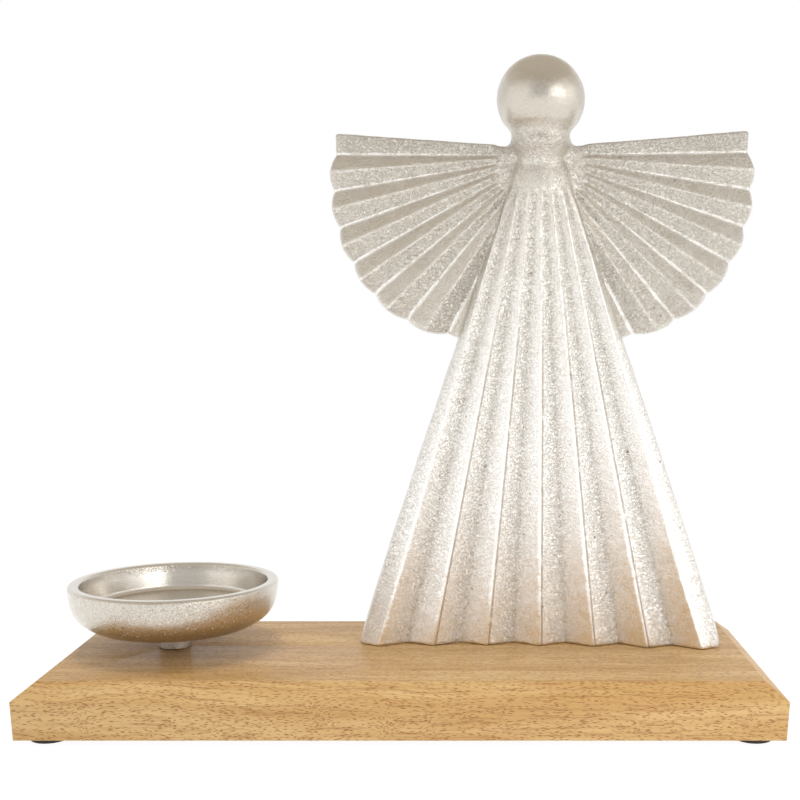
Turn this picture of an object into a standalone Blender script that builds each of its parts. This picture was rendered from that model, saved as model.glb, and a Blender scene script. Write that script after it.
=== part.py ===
"""Angel candle holder: a cast angel with fan-pleated wings and robe, and a round cast dish for a candle,
both screwed from below to a chamfered wooden board on four round pads.

Units are metres and Z is up. The origin is on the surface that the holder stands on, under the middle of
the board. X runs along the board to the viewer's right, and the front is at -Y.
"""

import math

import bmesh
import bpy
from mathutils import Matrix, Vector

COLLECTION_NAME = "angel_candle_holder"

# Gap that neighbouring pieces keep where they seat on each other
SEAT_GAP = 0.0003

# Round pads under the board
PAD_DIAMETER = 0.019
PAD_HEIGHT = 0.0025
PAD_EDGE_RADIUS = 0.0006
PAD_INSET = 0.014

# Wooden board
BOARD_LENGTH = 0.360
BOARD_DEPTH = 0.140
BOARD_THICKNESS = 0.0256
BOARD_CHAMFER_RUN = 0.0093
BOARD_CHAMFER_DROP = 0.0073
BOARD_SIDE_LEAN = 0.001

# Screws and washers from below
SCREW_DIAMETER = 0.004
SCREW_HEAD_DIAMETER = 0.008
SCREW_HEAD_HEIGHT = 0.0026
SCREW_HEAD_ROUNDING = 0.0009
SCREW_TIP_TAPER = 0.0008
SCREW_RADIAL_CLEARANCE = 0.0003
SCREW_TIP_CLEARANCE = 0.0015
DRIVE_SIZE = 0.0025
DRIVE_DEPTH = 0.0014
BOARD_HOLE_CLEARANCE = 0.0005
WASHER_DIAMETER = 0.011
WASHER_BORE_CLEARANCE = 0.0003
WASHER_THICKNESS = 0.001
COUNTERBORE_DIAMETER = 0.0135
COUNTERBORE_DEPTH = 0.0115
ANGEL_SCREW_REACH = 0.012
DISH_SCREW_REACH = 0.011
ANGEL_SCREW_SPREAD = 0.055

# Candle dish, a turned casting on a short round boss
DISH_END_INSET = 0.059
DISH_CENTRE_Y = 0.004
DISH_RIM_RADIUS = 0.0533
DISH_RIM_HEIGHT = 0.0348
DISH_RIM_WALL = 0.0059
DISH_RIM_ROUNDING = 0.0016
DISH_WELL_DEPTH = 0.014
DISH_WELL_TAPER = 0.0022
DISH_WELL_FILLET = 0.0030
DISH_UNDERSIDE_RADIUS = 0.0400
DISH_UNDERSIDE_HEIGHT = 0.0120
DISH_BELLY_BULGE = 0.0038
BOSS_DIAMETER = 0.0164
BOSS_FILLET = 0.0015

# Angel: where its hem stands, and its turn about the vertical
ANGEL_END_INSET = 0.1117
ANGEL_CENTRE_Y = 0.0063
ANGEL_TURN = math.radians(-2.4)

# Robe of the angel
ROBE_PLEAT_TOP = 0.2357
BUST_HEIGHT = 0.0203
ROBE_HALF_WIDTH_HEM = 0.0939
ROBE_HALF_WIDTH_TOP = 0.0164
ROBE_SIDE_BULGE = 0.0020
ROBE_RIDGES_EACH_SIDE = 3
PLEAT_PITCH_HEM = 0.0277
PLEAT_PITCH_TOP = 0.0053
PLEAT_DEPTH_HEM = 0.0078
PLEAT_DEPTH_TOP = 0.0016
PLEAT_FADE = 0.0035
ROBE_FRONT_HEM = 0.0045
ROBE_FRONT_TOP = 0.0040
ROBE_BACK_HEM = 0.0045
ROBE_BACK_TOP = 0.0060
ROBE_CROWN_HEM = -0.0060
ROBE_CROWN_TOP = 0.0090
ROBE_BACK_CROWN = 0.0040
ROBE_EDGE_RADIUS = 0.0016

# Wings, two mirrored fans that spring from one point below the neck
FAN_CENTRE_DROP = 0.0032
FAN_ROOT_RADIUS = 0.007
FAN_NOTCH_RADIUS = 0.1110
FAN_LOBE_RISE = 0.0017
FAN_FULLEST_ANGLE = math.radians(35.0)
FAN_TOP_SHRINK = 0.0052
FAN_TAIL_SHRINK = 0.0084
FAN_START_ANGLE = math.radians(-0.8)
FAN_PLEAT_ANGLE = math.radians(10.0)
FAN_EVEN_PLEATS = 3.5
FAN_TAIL_WIDENING = math.radians(0.5)
FAN_PLEATS = 6
FAN_TAIL_PLEATS = 6.65
WING_TOP_ROOT_X = 0.0070
WING_TOP_ROOT_RISE = 0.0047
WING_TOP_TIP_X = 0.1053
WING_TOP_TIP_RISE = 0.0119
WING_THICKNESS = 0.0052
WING_PLEAT_DEPTH_TIP = 0.0056
WING_PLEAT_DEPTH_ROOT = 0.0012
WING_MIDPLANE_Y = 0.0022
WING_EDGE_RADIUS = 0.0014

# Head and neck, a plain ball that narrows to the shoulders
HEAD_RADIUS = 0.0224
HEAD_CENTRE_HEIGHT = 0.2809
HEAD_AXIS_Y = -0.0015
NECK_RADIUS = 0.0143
NECK_DROP = 0.0180
SHOULDER_RADIUS = 0.0160
SHOULDER_DROP = 0.0042
NECK_FOOT_RADIUS = 0.0105
NECK_FOOT_DROP = 0.0118

# How finely each form is divided
FOLD_ROUNDING = 0.09
ROBE_PLEAT_ROWS = 8
ROBE_BUST_ROWS = 5
WING_ROWS = 6
HEAD_STEPS = 32
HEAD_ARC_POINTS = 11
DISH_STEPS = 56
SMALL_STEPS = 24

# Places and heights that follow from the sizes above
DISH_CENTRE_X = -0.5 * BOARD_LENGTH + DISH_END_INSET
ANGEL_CENTRE_X = 0.5 * BOARD_LENGTH - ANGEL_END_INSET
ROBE_TOP = ROBE_PLEAT_TOP + BUST_HEIGHT
FAN_CENTRE_HEIGHT = ROBE_TOP - FAN_CENTRE_DROP
NECK_HEIGHT = HEAD_CENTRE_HEIGHT - NECK_DROP
SHOULDER_HEIGHT = NECK_HEIGHT - SHOULDER_DROP
NECK_FOOT_HEIGHT = min(SHOULDER_HEIGHT, ROBE_TOP) - NECK_FOOT_DROP
BOARD_BOTTOM = PAD_HEIGHT + SEAT_GAP
BOARD_TOP = BOARD_BOTTOM + BOARD_THICKNESS
CASTING_FOOT = BOARD_TOP + SEAT_GAP
COUNTERBORE_CEILING = BOARD_BOTTOM + COUNTERBORE_DEPTH
WASHER_TOP = COUNTERBORE_CEILING - SEAT_GAP
SCREW_HEAD_TOP = WASHER_TOP - WASHER_THICKNESS - SEAT_GAP


def clear_scene():
    for obj in list(bpy.data.objects):
        bpy.data.objects.remove(obj, do_unlink=True)


def make_collection(name, hidden=False):
    collection = bpy.data.collections.new(name)
    bpy.context.scene.collection.children.link(collection)
    collection.hide_render = hidden
    return collection


def make_material(name, colour, roughness, metallic):
    material = bpy.data.materials.new(name)
    material.use_nodes = True
    shader = material.node_tree.nodes["Principled BSDF"]
    shader.inputs["Base Color"].default_value = (*colour, 1.0)
    shader.inputs["Roughness"].default_value = roughness
    shader.inputs["Metallic"].default_value = metallic
    material.diffuse_color = (*colour, 1.0)
    return material


def mix(start, end, share):
    return start + (end - start) * share


def object_from(bm, name, collection, material=None):
    """Turns a bmesh into an object with outward faces and smooth shading broken at sharp edges."""
    bmesh.ops.recalc_face_normals(bm, faces=bm.faces)
    mesh = bpy.data.meshes.new(name)
    bm.to_mesh(mesh)
    bm.free()
    mesh.shade_smooth()
    mesh.set_sharp_from_angle(angle=math.radians(35))
    obj = bpy.data.objects.new(name, mesh)
    collection.objects.link(obj)
    if material:
        mesh.materials.append(material)
    return obj


def hide_as_cutter(obj):
    obj.hide_render = True
    obj.display_type = "WIRE"


def turned(name, profile, steps, collection, material=None):
    """Turns a profile of (radius, height) points, listed down the outer side, about the Z axis."""
    bm = bmesh.new()
    points = [bm.verts.new((radius, 0.0, height)) for radius, height in profile]
    for first, second in zip(points, points[1:]):
        bm.edges.new((first, second))
    mesh = bpy.data.meshes.new(name)
    bm.to_mesh(mesh)
    bm.free()
    obj = bpy.data.objects.new(name, mesh)
    collection.objects.link(obj)
    screw = obj.modifiers.new("Turn", "SCREW")
    screw.steps = steps
    screw.render_steps = steps
    screw.use_merge_vertices = True
    screw.merge_threshold = 0.00001
    screw.use_smooth_shade = True
    if material:
        mesh.materials.append(material)
    return obj


def boolean(obj, other, operation):
    modifier = obj.modifiers.new(f"{operation.title()} {other.name}", "BOOLEAN")
    modifier.operation = operation
    modifier.solver = "EXACT"
    modifier.object = other
    hide_as_cutter(other)
    return modifier


def arc(centre, radius, start, end, count):
    """Points of an arc in the (radius, height) plane, from the start angle to the end angle in degrees."""
    angles = [math.radians(mix(start, end, step / (count - 1))) for step in range(count)]
    return [(centre[0] + radius * math.cos(a), centre[1] + radius * math.sin(a)) for a in angles]


def fold_height(position):
    """Height of a zigzag fold, 1 on its ridges at whole positions and 0 in the valleys between them."""
    distance = abs(position - round(position))
    sharp = 1.0 - 2.0 * distance
    crest = 1.0 - FOLD_ROUNDING
    return min(max(sharp, FOLD_ROUNDING * 0.5), 0.5 + crest * 0.5)


def fold_lines(first, last):
    """Positions across a run of folds: three close lines at each ridge and valley, so that both stay crisp."""
    lines = []
    for half in range(round(2 * first), round(2 * last) + 1):
        lines += [half / 2 - FOLD_ROUNDING, half / 2, half / 2 + FOLD_ROUNDING]
    return lines


def plate_between(name, front, back, collection):
    """A closed plate between two grids of points, given as equal lists of rows, joined round their border."""
    bm = bmesh.new()
    row_count = len(front)
    column_count = len(front[0])
    sheets = []
    for grid in (front, back):
        sheets.append([[bm.verts.new(point) for point in row] for row in grid])
    for sheet in sheets:
        for r in range(row_count - 1):
            for c in range(column_count - 1):
                bm.faces.new((sheet[r][c], sheet[r][c + 1], sheet[r + 1][c + 1], sheet[r + 1][c]))
    border = [(0, c) for c in range(column_count)]
    border += [(r, column_count - 1) for r in range(1, row_count)]
    border += [(row_count - 1, c) for c in reversed(range(column_count - 1))]
    border += [(r, 0) for r in reversed(range(1, row_count - 1))]
    for (r1, c1), (r2, c2) in zip(border, border[1:] + border[:1]):
        bm.faces.new((sheets[0][r1][c1], sheets[0][r2][c2], sheets[1][r2][c2], sheets[1][r1][c1]))
    return object_from(bm, name, collection)


def robe_half_width(height):
    """Half the robe's width: sides that swell a little near the hem, then a rounded bust."""
    if height <= ROBE_PLEAT_TOP:
        share = height / ROBE_PLEAT_TOP
        straight = mix(ROBE_HALF_WIDTH_HEM, ROBE_HALF_WIDTH_TOP, share)
        return straight + ROBE_SIDE_BULGE * math.sin(math.pi * math.sqrt(share))
    share = (height - ROBE_PLEAT_TOP) / BUST_HEIGHT
    return ROBE_HALF_WIDTH_TOP * math.sqrt(max(0.0, 1.0 - share * share))


def robe_row(height):
    """Front and back points of the robe across one height."""
    share = min(height / ROBE_PLEAT_TOP, 1.0)
    bust = max(0.0, (height - ROBE_PLEAT_TOP) / BUST_HEIGHT)
    dome = math.sqrt(1.0 - bust * bust)
    half_width = robe_half_width(height)
    pitch = mix(PLEAT_PITCH_HEM, PLEAT_PITCH_TOP, share)
    fade = min(1.0, max(0.0, (ROBE_PLEAT_TOP - height) / PLEAT_FADE))
    depth = mix(PLEAT_DEPTH_HEM, PLEAT_DEPTH_TOP, share) * fade
    crown = mix(ROBE_CROWN_HEM, ROBE_CROWN_TOP, share) * dome
    front_side = mix(ROBE_FRONT_HEM, ROBE_FRONT_TOP, share) * dome
    back_side = mix(ROBE_BACK_HEM, ROBE_BACK_TOP, share) * dome
    last_ridge = ROBE_RIDGES_EACH_SIDE + FOLD_ROUNDING
    folds = [f for f in fold_lines(-ROBE_RIDGES_EACH_SIDE, ROBE_RIDGES_EACH_SIDE) if abs(f) <= last_ridge + 1e-6]
    inner = half_width - ROBE_EDGE_RADIUS * dome
    across = [f * min(pitch, inner / (last_ridge + FOLD_ROUNDING)) for f in folds]
    stations = [(-half_width, 0.0, True), (-inner, 0.0, False)]
    stations += [(x, fold_height(f), False) for x, f in zip(across, folds)]
    stations += [(inner, 0.0, False), (half_width, 0.0, True)]
    front, back = [], []
    for x, fold, rim in stations:
        arch = 1.0 - (x / half_width) ** 2
        relief = depth * (fold - 0.5)
        rim_step = ROBE_EDGE_RADIUS * dome if rim else 0.0
        front.append((x, -(front_side + crown * arch + relief - rim_step), height))
        back.append((x, back_side + ROBE_BACK_CROWN * dome * arch - relief - rim_step, height))
    return front, back


def make_robe(collection):
    """The robe: seven ridges that fan out to the hem, with a smooth rounded bust above them."""
    heights = [ROBE_PLEAT_TOP * step / ROBE_PLEAT_ROWS for step in range(ROBE_PLEAT_ROWS)]
    heights.append(ROBE_PLEAT_TOP - PLEAT_FADE)
    for step in range(ROBE_BUST_ROWS + 1):
        turn = 0.5 * math.pi * step / (ROBE_BUST_ROWS + 0.4)
        heights.append(ROBE_PLEAT_TOP + BUST_HEIGHT * math.sin(turn))
    rows = [robe_row(height) for height in heights]
    return plate_between("robe", [row[0] for row in rows], [row[1] for row in rows], collection)


def fan_angle(position):
    """Angle of a pleat line below the level: evenly spaced at first, then wider towards the tail."""
    pleats = position - 0.5
    past_even = max(0.0, pleats - FAN_EVEN_PLEATS)
    return FAN_START_ANGLE + pleats * FAN_PLEAT_ANGLE + past_even**2 * FAN_TAIL_WIDENING


def lobe_radius(position):
    """Outer radius of the fan: fullest below its middle, with a shallow lobe over each ridge."""
    angle = fan_angle(position)
    if angle < FAN_FULLEST_ANGLE:
        shrink = FAN_TOP_SHRINK * (1.0 - angle / FAN_FULLEST_ANGLE) ** 2
    else:
        last_valley = fan_angle(FAN_PLEATS + 0.5)
        shrink = FAN_TAIL_SHRINK * ((angle - FAN_FULLEST_ANGLE) / (last_valley - FAN_FULLEST_ANGLE)) ** 2
    from_ridge = 2.0 * abs(position - round(position))
    return FAN_NOTCH_RADIUS - shrink + FAN_LOBE_RISE * (1.0 - from_ridge**2.5)


def wing_column(position, share):
    """Place in the wing's plane of one pleat line at a share of its length, and the fold's height there."""
    if position is None:
        x = mix(WING_TOP_ROOT_X, WING_TOP_TIP_X, share)
        return x, mix(WING_TOP_ROOT_RISE, WING_TOP_TIP_RISE, share), 1.0
    angle = fan_angle(position)
    radius = mix(FAN_ROOT_RADIUS, lobe_radius(position), share)
    return radius * math.cos(angle), -radius * math.sin(angle), fold_height(position)


def make_wing(collection):
    """The wing at +X: a fan plate whose ridges end in lobes, with a straight top edge and rounded rims."""
    tail = FAN_TAIL_PLEATS + 0.5
    lines = [line for line in fold_lines(0.5, FAN_PLEATS + 0.5) if line > 0.5 - FOLD_ROUNDING - 1e-6]
    positions = [None] + [line for line in lines if line < tail] + [tail]
    shares = [step / WING_ROWS for step in range(WING_ROWS)]
    fan_length = FAN_NOTCH_RADIUS - FAN_ROOT_RADIUS
    shares += [1.0 - WING_EDGE_RADIUS / fan_length, 1.0]
    front, back = [], []
    for share in shares:
        front_row, back_row = [], []
        depth = mix(WING_PLEAT_DEPTH_ROOT, WING_PLEAT_DEPTH_TIP, share)
        rim_step = WING_EDGE_RADIUS if share == 1.0 else 0.0
        for position in positions:
            x, rise, fold = wing_column(position, share)
            relief = depth * (fold - 0.5)
            half = 0.5 * WING_THICKNESS - rim_step
            height = FAN_CENTRE_HEIGHT + rise
            front_row.append((x, WING_MIDPLANE_Y - relief - half, height))
            back_row.append((x, WING_MIDPLANE_Y - relief + half, height))
        front.append(front_row)
        back.append(back_row)
    return plate_between("wing", front, back, collection)


def make_head(collection):
    """The ball head, narrowing to the neck and widening again to the shoulders."""
    neck_angle = -math.degrees(math.asin(min(0.95, (HEAD_CENTRE_HEIGHT - NECK_HEIGHT - 0.004) / HEAD_RADIUS)))
    profile = [(0.0, HEAD_CENTRE_HEIGHT + HEAD_RADIUS)]
    profile += arc((0.0, HEAD_CENTRE_HEIGHT), HEAD_RADIUS, 90, neck_angle, HEAD_ARC_POINTS)[1:]
    profile.append((NECK_RADIUS, NECK_HEIGHT))
    profile.append((mix(NECK_RADIUS, SHOULDER_RADIUS, 0.3), mix(NECK_HEIGHT, SHOULDER_HEIGHT, 0.55)))
    profile.append((SHOULDER_RADIUS, SHOULDER_HEIGHT))
    profile.append((mix(SHOULDER_RADIUS, NECK_FOOT_RADIUS, 0.45), mix(SHOULDER_HEIGHT, NECK_FOOT_HEIGHT, 0.6)))
    profile.append((NECK_FOOT_RADIUS * 0.7, NECK_FOOT_HEIGHT))
    profile.append((0.0, NECK_FOOT_HEIGHT))
    return turned("head", profile, HEAD_STEPS, collection)


def screw_places():
    """Places on the board of the two angel screws and the dish screw, as (name, x, y, reach)."""
    turn = Matrix.Rotation(ANGEL_TURN, 3, "Z")
    crown_at_screw = 1.0 - (ANGEL_SCREW_SPREAD / ROBE_HALF_WIDTH_HEM) ** 2
    behind = 0.5 * (ROBE_BACK_HEM + ROBE_BACK_CROWN * crown_at_screw)
    behind -= 0.5 * (ROBE_FRONT_HEM + ROBE_CROWN_HEM * crown_at_screw)
    behind -= 0.5 * PLEAT_DEPTH_HEM * 0.85
    places = []
    for side, name in ((-1, "angel_screw_left"), (1, "angel_screw_right")):
        local = turn @ Vector((side * ANGEL_SCREW_SPREAD, behind, 0.0))
        places.append((name, ANGEL_CENTRE_X + local.x, ANGEL_CENTRE_Y + local.y, ANGEL_SCREW_REACH))
    places.append(("dish_screw", DISH_CENTRE_X, DISH_CENTRE_Y, DISH_SCREW_REACH))
    return places


def make_screw_hole(name, x, y, reach, collection):
    """Cutter for a blind screw hole in the foot of a casting."""
    radius = 0.5 * SCREW_DIAMETER + SCREW_RADIAL_CLEARANCE
    profile = [
        (0.0, CASTING_FOOT + reach + SCREW_TIP_CLEARANCE + radius * 0.5),
        (radius, CASTING_FOOT + reach + SCREW_TIP_CLEARANCE),
        (radius, CASTING_FOOT - 0.002),
        (0.0, CASTING_FOOT - 0.002),
    ]
    hole = turned(name, profile, 16, collection)
    hole.location = (x, y, 0.0)
    return hole


def make_angel(collection, cutters, material):
    """One casting: robe, both wings, neck and head joined, turned a little on the board."""
    robe = make_robe(collection)
    robe.name = "angel_casting"
    robe.data.name = "angel_casting"
    robe.data.materials.append(material)
    wing = make_wing(cutters)
    for side in (1, -1):
        half = wing
        if side < 0:
            half = wing.copy()
            half.data = wing.data.copy()
            half.data.transform(Matrix.Scale(-1, 4, Vector((1, 0, 0))))
            half.data.flip_normals()
            cutters.objects.link(half)
        half.name = "wing_right" if side > 0 else "wing_left"
        boolean(robe, half, "UNION")
        place_on_board(half)
    head = make_head(cutters)
    boolean(robe, head, "UNION")
    place_on_board(head, HEAD_AXIS_Y)
    place_on_board(robe)
    return robe


def place_on_board(obj, behind=0.0):
    """Stands a piece of the angel at its place on the board, turned with it, and a little behind if asked."""
    turn = Matrix.Rotation(ANGEL_TURN, 3, "Z")
    offset = turn @ Vector((0.0, behind, 0.0))
    obj.location = Vector((ANGEL_CENTRE_X, ANGEL_CENTRE_Y, CASTING_FOOT)) + offset
    obj.rotation_euler = (0.0, 0.0, ANGEL_TURN)


def dish_profile():
    """Half section of the dish: well, rounded rim, curved belly, flat underside and boss."""
    foot = CASTING_FOOT
    rim_top = foot + DISH_RIM_HEIGHT - SEAT_GAP
    floor = rim_top - DISH_WELL_DEPTH
    well_top_radius = DISH_RIM_RADIUS - DISH_RIM_WALL
    well_floor_radius = well_top_radius - DISH_WELL_TAPER
    underside = foot + DISH_UNDERSIDE_HEIGHT - SEAT_GAP
    boss_radius = 0.5 * BOSS_DIAMETER
    rounding = DISH_RIM_ROUNDING
    profile = [(0.0, floor)]
    fillet_centre = (well_floor_radius - DISH_WELL_FILLET, floor + DISH_WELL_FILLET)
    profile += arc(fillet_centre, DISH_WELL_FILLET, -90, 0, 4)
    profile += arc((well_top_radius + rounding, rim_top - rounding), rounding, 180, 90, 4)
    profile += arc((DISH_RIM_RADIUS - rounding, rim_top - rounding), rounding, 90, 0, 4)
    start = Vector((DISH_RIM_RADIUS, rim_top - 2.5 * rounding))
    end = Vector((DISH_UNDERSIDE_RADIUS, underside))
    outward = Vector((start.y - end.y, end.x - start.x)).normalized()
    for step in range(1, 7):
        share = step / 7
        point = start.lerp(end, share) + outward * DISH_BELLY_BULGE * math.sin(math.pi * share)
        profile.append((point.x, point.y))
    profile.append((end.x, end.y))
    profile.append((boss_radius + BOSS_FILLET, underside))
    profile.append((boss_radius, underside - BOSS_FILLET))
    profile.append((boss_radius, foot))
    profile.append((0.0, foot))
    return profile


def make_dish(collection, material):
    dish = turned("candle_dish", dish_profile(), DISH_STEPS, collection, material)
    dish.location = (DISH_CENTRE_X, DISH_CENTRE_Y, 0.0)
    return dish


def make_board(collection, material):
    """The board: a cube to size whose underside leans in, with its top drawn up and in to a chamfer."""
    bm = bmesh.new()
    bmesh.ops.create_cube(bm, size=1.0)
    body_height = BOARD_THICKNESS - BOARD_CHAMFER_DROP
    for vertex in bm.verts:
        lean = BOARD_SIDE_LEAN if vertex.co.z < 0 else 0.0
        vertex.co.x = math.copysign(0.5 * BOARD_LENGTH - lean, vertex.co.x)
        vertex.co.y = math.copysign(0.5 * BOARD_DEPTH - lean, vertex.co.y)
        vertex.co.z = BOARD_BOTTOM + (body_height if vertex.co.z > 0 else 0.0)
    top = max(bm.faces, key=lambda face: face.calc_center_median().z)
    raised = bmesh.ops.extrude_face_region(bm, geom=[top])
    bm.faces.remove(top)
    for vertex in (item for item in raised["geom"] if isinstance(item, bmesh.types.BMVert)):
        vertex.co.x = math.copysign(0.5 * BOARD_LENGTH - BOARD_CHAMFER_RUN, vertex.co.x)
        vertex.co.y = math.copysign(0.5 * BOARD_DEPTH - BOARD_CHAMFER_RUN, vertex.co.y)
        vertex.co.z = BOARD_TOP
    return object_from(bm, "wood_board", collection, material)


def make_counterbore(name, x, y, collection):
    """Cutter for a stepped hole through the board: a wide bore for head and washer, a narrow one above."""
    hole = 0.5 * SCREW_DIAMETER + BOARD_HOLE_CLEARANCE
    bore = 0.5 * COUNTERBORE_DIAMETER
    past = 0.002
    profile = [
        (0.0, BOARD_TOP + past),
        (hole, BOARD_TOP + past),
        (hole, COUNTERBORE_CEILING),
        (bore, COUNTERBORE_CEILING),
        (bore, BOARD_BOTTOM - past),
        (0.0, BOARD_BOTTOM - past),
    ]
    cutter = turned(name, profile, SMALL_STEPS, collection)
    cutter.location = (x, y, 0.0)
    return cutter


def make_screw(name, x, y, reach, collection, cutters, material):
    """Pan-head screw, head down, whose shank reaches up into a casting."""
    head = 0.5 * SCREW_HEAD_DIAMETER
    shank = 0.5 * SCREW_DIAMETER
    tip = CASTING_FOOT + reach
    bottom = SCREW_HEAD_TOP - SCREW_HEAD_HEIGHT
    profile = [
        (0.0, tip),
        (shank - SCREW_TIP_TAPER, tip),
        (shank, tip - SCREW_TIP_TAPER),
        (shank, SCREW_HEAD_TOP),
        (head, SCREW_HEAD_TOP),
        (head, bottom + SCREW_HEAD_ROUNDING),
        (head - SCREW_HEAD_ROUNDING, bottom),
        (0.0, bottom),
    ]
    screw = turned(name, profile, SMALL_STEPS, collection, material)
    screw.location = (x, y, 0.0)
    bm = bmesh.new()
    bmesh.ops.create_cone(
        bm,
        cap_ends=True,
        segments=6,
        radius1=0.5 * DRIVE_SIZE / math.cos(math.radians(30)),
        radius2=0.5 * DRIVE_SIZE / math.cos(math.radians(30)),
        depth=2.0 * DRIVE_DEPTH,
    )
    drive = object_from(bm, f"{name}_drive", cutters)
    drive.location = (x, y, bottom)
    boolean(screw, drive, "DIFFERENCE")
    return screw


def make_washer(name, x, y, collection, material):
    outer = 0.5 * WASHER_DIAMETER
    bore = 0.5 * SCREW_DIAMETER + WASHER_BORE_CLEARANCE
    bottom = WASHER_TOP - WASHER_THICKNESS
    profile = [(bore, WASHER_TOP), (outer, WASHER_TOP), (outer, bottom), (bore, bottom), (bore, WASHER_TOP)]
    washer = turned(name, profile, SMALL_STEPS, collection, material)
    washer.location = (x, y, 0.0)
    return washer


def make_pad(name, x, y, collection, material):
    radius = 0.5 * PAD_DIAMETER
    profile = [
        (0.0, PAD_HEIGHT),
        (radius, PAD_HEIGHT),
        (radius, PAD_EDGE_RADIUS),
        (radius - PAD_EDGE_RADIUS, 0.0),
        (0.0, 0.0),
    ]
    pad = turned(name, profile, SMALL_STEPS, collection, material)
    pad.location = (x, y, 0.0)
    return pad


def main():
    clear_scene()
    parts = make_collection(COLLECTION_NAME)
    cutters = make_collection("cutters", hidden=True)
    wood = make_material("varnished_wood", (0.62, 0.40, 0.20), 0.38, 0.0)
    casting = make_material("rough_cast_aluminium", (0.72, 0.69, 0.63), 0.38, 1.0)
    dish_metal = make_material("cast_dish_aluminium", (0.68, 0.64, 0.57), 0.34, 1.0)
    steel = make_material("zinc_plated_steel", (0.60, 0.61, 0.62), 0.32, 1.0)
    rubber = make_material("dark_rubber", (0.035, 0.026, 0.026), 0.75, 0.0)

    board = make_board(parts, wood)
    angel = make_angel(parts, cutters, casting)
    dish = make_dish(parts, dish_metal)
    for name, x, y, reach in screw_places():
        boolean(board, make_counterbore(f"{name}_counterbore", x, y, cutters), "DIFFERENCE")
        casting_above = dish if name.startswith("dish") else angel
        hole = make_screw_hole(f"{name}_hole", x, y, reach, cutters)
        boolean(casting_above, hole, "DIFFERENCE")
        make_screw(name, x, y, reach, parts, cutters, steel)
        make_washer(name.replace("screw", "washer"), x, y, parts, steel)

    pad_x = 0.5 * BOARD_LENGTH - PAD_INSET
    pad_y = 0.5 * BOARD_DEPTH - PAD_INSET
    for end, side_x in (("left", -1), ("right", 1)):
        for edge, side_y in (("front", -1), ("back", 1)):
            make_pad(f"foot_pad_{edge}_{end}", side_x * pad_x, side_y * pad_y, parts, rubber)


main()
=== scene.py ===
"""Looks of the angel candle holder.

A cast angel with pleated wings and robe and a cast candle dish stand on a varnished board with four pads,
and screws hold both castings from below. Units are metres and Z is up. X runs along the board to the
viewer's right, and the front is at -Y.
"""

import logging
import math
from collections.abc import Callable
from dataclasses import dataclass, field, fields
from enum import Enum

import bmesh
import bpy
from mathutils import Matrix, Vector


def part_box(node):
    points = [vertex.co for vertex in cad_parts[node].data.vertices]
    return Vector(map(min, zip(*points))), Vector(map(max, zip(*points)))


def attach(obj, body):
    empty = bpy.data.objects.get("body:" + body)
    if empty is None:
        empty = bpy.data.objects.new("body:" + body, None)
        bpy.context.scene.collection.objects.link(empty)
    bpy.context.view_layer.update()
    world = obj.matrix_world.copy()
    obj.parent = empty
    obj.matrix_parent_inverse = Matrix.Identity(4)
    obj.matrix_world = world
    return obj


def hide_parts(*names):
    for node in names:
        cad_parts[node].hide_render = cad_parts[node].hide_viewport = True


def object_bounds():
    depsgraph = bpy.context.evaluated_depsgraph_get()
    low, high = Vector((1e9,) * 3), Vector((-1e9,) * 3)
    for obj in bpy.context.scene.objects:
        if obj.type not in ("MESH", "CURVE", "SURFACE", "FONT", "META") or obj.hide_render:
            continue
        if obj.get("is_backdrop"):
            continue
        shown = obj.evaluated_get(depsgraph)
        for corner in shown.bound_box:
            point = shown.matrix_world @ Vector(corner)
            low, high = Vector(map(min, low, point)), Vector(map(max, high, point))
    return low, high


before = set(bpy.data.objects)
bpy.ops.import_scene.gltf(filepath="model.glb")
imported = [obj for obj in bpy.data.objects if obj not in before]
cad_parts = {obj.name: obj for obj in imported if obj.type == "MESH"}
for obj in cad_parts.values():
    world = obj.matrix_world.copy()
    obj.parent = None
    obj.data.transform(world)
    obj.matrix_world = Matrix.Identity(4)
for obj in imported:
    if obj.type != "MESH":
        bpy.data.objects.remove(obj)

CAD_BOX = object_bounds()
BODY = "root"
LOG = logging.getLogger("angel_candle_holder")

# Stored on the casting's points: nearness to a ridge, coarseness of the grain, and how far the tone goes
# from dull to bright
MARKS = ("fold", "grain", "rub")

# Points nearer to each other than this are welded
WELD_REACH = 1e-6

Socket = bpy.types.NodeSocket
Tree = bpy.types.NodeTree
Material = bpy.types.Material
Piece = bpy.types.Object
Sockets = dict[str, str]
Colour = tuple[float, float, float]
Place = tuple[float, float, float]
Point = tuple[float, float]


class Slot(Enum):
    """Material slots of the record, which are logged with the new pieces."""

    WOOD = "board_wood"
    ANGEL = "angel_metal"
    DISH = "dish_metal"


class TreeKind(Enum):
    """Kinds of node tree."""

    GEOMETRY = "GeometryNodeTree"
    SHADER = "ShaderNodeTree"


class TubeEnds(Enum):
    """How the ends of a tube are closed."""

    FILLED = "NGON"
    OPEN = "NONE"


# Node trees written as formulas


def arithmetic(operation: str, swapped: bool = False) -> Callable[["Term", "Source"], "Term"]:
    """Makes a method of Term that works out one operation.

    Args:
        operation: Operation of the Math node.
        swapped: Whether the other source comes before the term.

    Returns:
        The method.
    """

    def method(term: "Term", other: "Source") -> "Term":
        """Adds the Math node and returns its result."""
        sources = (other, term) if swapped else (term, other)
        return term.maker.math(operation, *sources)

    return method


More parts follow.
